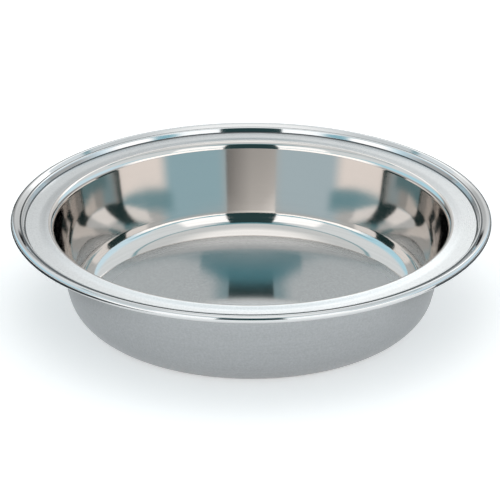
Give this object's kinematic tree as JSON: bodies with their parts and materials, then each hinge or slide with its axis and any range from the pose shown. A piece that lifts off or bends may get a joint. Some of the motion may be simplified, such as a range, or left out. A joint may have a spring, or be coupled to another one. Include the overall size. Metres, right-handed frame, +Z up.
{
  "type": "round flanged pan insert",
  "caption": "Round stainless steel pan insert with a flat floor, tapered wall, wide level flange and raised rolled rim; holds hot food or water and hangs by its flange.",
  "frame": {"origin": "centre of the flat base, on its underside", "axes": "+Z up along the pan's axis; X and Y are alike"},
  "size_m": [0.42, 0.4198, 0.0887],
  "materials": {
    "pan_steel": "polished inside, satin flange, floor and outside",
    "wire_steel": "drawn wire"
  },
  "bodies": {
    "root": {"pan_shell": "pan_steel", "rim_wire": "wire_steel"}
  },
  "joints": []
}
